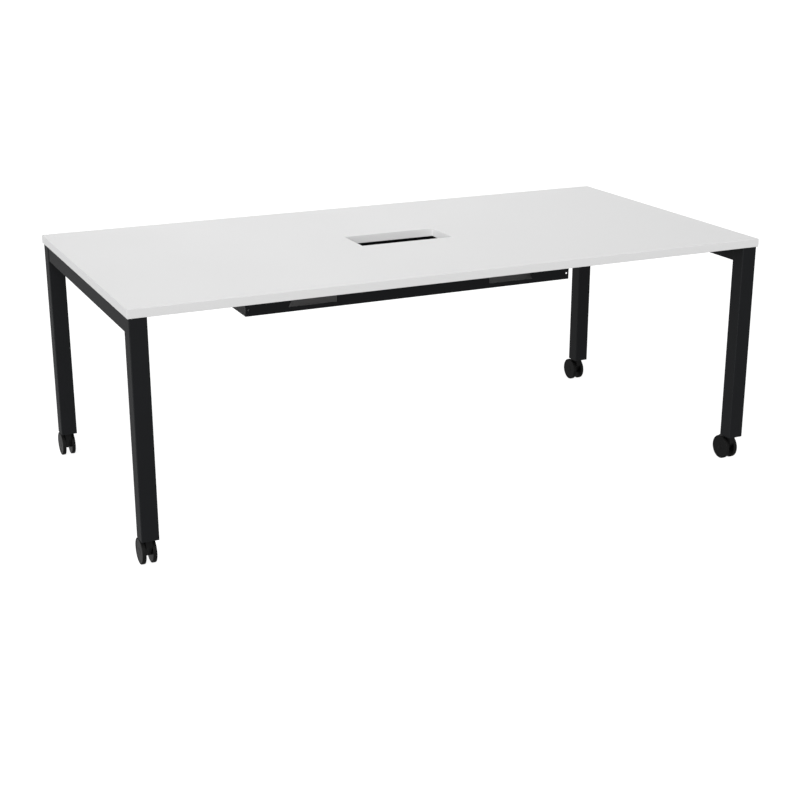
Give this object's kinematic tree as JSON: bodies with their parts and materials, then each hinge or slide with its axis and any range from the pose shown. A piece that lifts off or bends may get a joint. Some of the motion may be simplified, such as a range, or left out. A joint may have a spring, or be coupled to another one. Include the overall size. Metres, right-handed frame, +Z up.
{
  "type": "mobile table",
  "caption": "Long office table with a board top, cable port, cable tray, square steel legs and braked swivel casters.",
  "frame": {"origin": "on the floor, under the middle of the whole object's box; the middle of the table top is 17.9 mm in front of it, because the rear wheels reach past the top's rear edge", "axes": "+X along the table's length to its right, +Y from the front to the rear, +Z up"},
  "size_m": [2, 1.0358, 0.735],
  "materials": {
    "white_board": "white melamine faced board, satin",
    "frame_coat": "black powder coat, fine texture",
    "tray_coat": "black powder coat on folded sheet",
    "black_nylon": "black nylon, moulded",
    "black_wheel": "black hard tread wheel, satin",
    "zinc_steel": "zinc plated steel"
  },
  "bodies": {
    "table": {"table_top": "white_board", "cable_tray": "tray_coat", "leg_front_left": "frame_coat", "leg_rear_left": "frame_coat", "leg_front_right": "frame_coat", "leg_rear_right": "frame_coat", "end_rail_left": "frame_coat", "end_rail_right": "frame_coat", "long_rail_front": "frame_coat", "long_rail_rear": "frame_coat", "corner_plate_front_left": "frame_coat", "plate_screw_front_left_1": "zinc_steel", "plate_screw_front_left_2": "zinc_steel", "corner_plate_rear_left": "frame_coat", "plate_screw_rear_left_1": "zinc_steel", "plate_screw_rear_left_2": "zinc_steel", "corner_plate_front_right": "frame_coat", "plate_screw_front_right_1": "zinc_steel", "plate_screw_front_right_2": "zinc_steel", "corner_plate_rear_right": "frame_coat", "plate_screw_rear_right_1": "zinc_steel", "plate_screw_rear_right_2": "zinc_steel", "tray_screw_front_left": "zinc_steel", "tray_screw_front_middle": "zinc_steel", "tray_screw_front_right": "zinc_steel", "tray_screw_rear_left": "zinc_steel", "tray_screw_rear_middle": "zinc_steel", "tray_screw_rear_right": "zinc_steel", "leg_socket_front_left": "black_nylon", "caster_stem_front_left": "zinc_steel", "leg_socket_rear_left": "black_nylon", "caster_stem_rear_left": "zinc_steel", "leg_socket_front_right": "black_nylon", "caster_stem_front_right": "zinc_steel", "leg_socket_rear_right": "black_nylon", "caster_stem_rear_right": "zinc_steel"},
    "caster_front_left": {"caster_body_front_left": "black_nylon", "axle_front_left": "zinc_steel", "lever_pin_front_left": "zinc_steel"},
    "wheel_front_left_left": {"wheel_front_left_left": "black_wheel"},
    "wheel_front_left_right": {"wheel_front_left_right": "black_wheel"},
    "brake_lever_front_left": {"brake_lever_front_left": "black_nylon"},
    "caster_rear_left": {"caster_body_rear_left": "black_nylon", "axle_rear_left": "zinc_steel"},
    "wheel_rear_left_left": {"wheel_rear_left_left": "black_wheel"},
    "wheel_rear_left_right": {"wheel_rear_left_right": "black_wheel"},
    "caster_front_right": {"caster_body_front_right": "black_nylon", "axle_front_right": "zinc_steel", "lever_pin_front_right": "zinc_steel"},
    "wheel_front_right_left": {"wheel_front_right_left": "black_wheel"},
    "wheel_front_right_right": {"wheel_front_right_right": "black_wheel"},
    "brake_lever_front_right": {"brake_lever_front_right": "black_nylon"},
    "caster_rear_right": {"caster_body_rear_right": "black_nylon", "axle_rear_right": "zinc_steel"},
    "wheel_rear_right_left": {"wheel_rear_right_left": "black_wheel"},
    "wheel_rear_right_right": {"wheel_rear_right_right": "black_wheel"}
  },
  "joints": [
    {"name": "swivel_front_left", "type": "hinge", "parent": "table", "child": "caster_front_left", "pos_m": [-0.971, -0.4889, 0.0807], "axis": [0, 0, 1], "continuous": true},
    {"name": "roll_front_left_left", "type": "hinge", "parent": "caster_front_left", "child": "wheel_front_left_left", "pos_m": [-0.971, -0.4621, 0.038], "axis": [1, 0, 0], "continuous": true},
    {"name": "roll_front_left_right", "type": "hinge", "parent": "caster_front_left", "child": "wheel_front_left_right", "pos_m": [-0.971, -0.4621, 0.038], "axis": [1, 0, 0], "continuous": true},
    {"name": "brake_front_left", "type": "hinge", "parent": "caster_front_left", "child": "brake_lever_front_left", "pos_m": [-0.971, -0.4744, 0.0715], "axis": [1, 0, 0], "range_deg": [-15, 0]},
    {"name": "swivel_rear_left", "type": "hinge", "parent": "table", "child": "caster_rear_left", "pos_m": [-0.971, 0.4531, 0.0807], "axis": [0, 0, 1], "continuous": true},
    {"name": "roll_rear_left_left", "type": "hinge", "parent": "caster_rear_left", "child": "wheel_rear_left_left", "pos_m": [-0.971, 0.4799, 0.038], "axis": [1, 0, 0], "continuous": true},
    {"name": "roll_rear_left_right", "type": "hinge", "parent": "caster_rear_left", "child": "wheel_rear_left_right", "pos_m": [-0.971, 0.4799, 0.038], "axis": [1, 0, 0], "continuous": true},
    {"name": "swivel_front_right", "type": "hinge", "parent": "table", "child": "caster_front_right", "pos_m": [0.971, -0.4889, 0.0807], "axis": [0, 0, 1], "continuous": true},
    {"name": "roll_front_right_left", "type": "hinge", "parent": "caster_front_right", "child": "wheel_front_right_left", "pos_m": [0.971, -0.4621, 0.038], "axis": [1, 0, 0], "continuous": true},
    {"name": "roll_front_right_right", "type": "hinge", "parent": "caster_front_right", "child": "wheel_front_right_right", "pos_m": [0.971, -0.4621, 0.038], "axis": [1, 0, 0], "continuous": true},
    {"name": "brake_front_right", "type": "hinge", "parent": "caster_front_right", "child": "brake_lever_front_right", "pos_m": [0.971, -0.4744, 0.0715], "axis": [1, 0, 0], "range_deg": [-15, 0]},
    {"name": "swivel_rear_right", "type": "hinge", "parent": "table", "child": "caster_rear_right", "pos_m": [0.971, 0.4531, 0.0807], "axis": [0, 0, 1], "continuous": true},
    {"name": "roll_rear_right_left", "type": "hinge", "parent": "caster_rear_right", "child": "wheel_rear_right_left", "pos_m": [0.971, 0.4799, 0.038], "axis": [1, 0, 0], "continuous": true},
    {"name": "roll_rear_right_right", "type": "hinge", "parent": "caster_rear_right", "child": "wheel_rear_right_right", "pos_m": [0.971, 0.4799, 0.038], "axis": [1, 0, 0], "continuous": true}
  ]
}
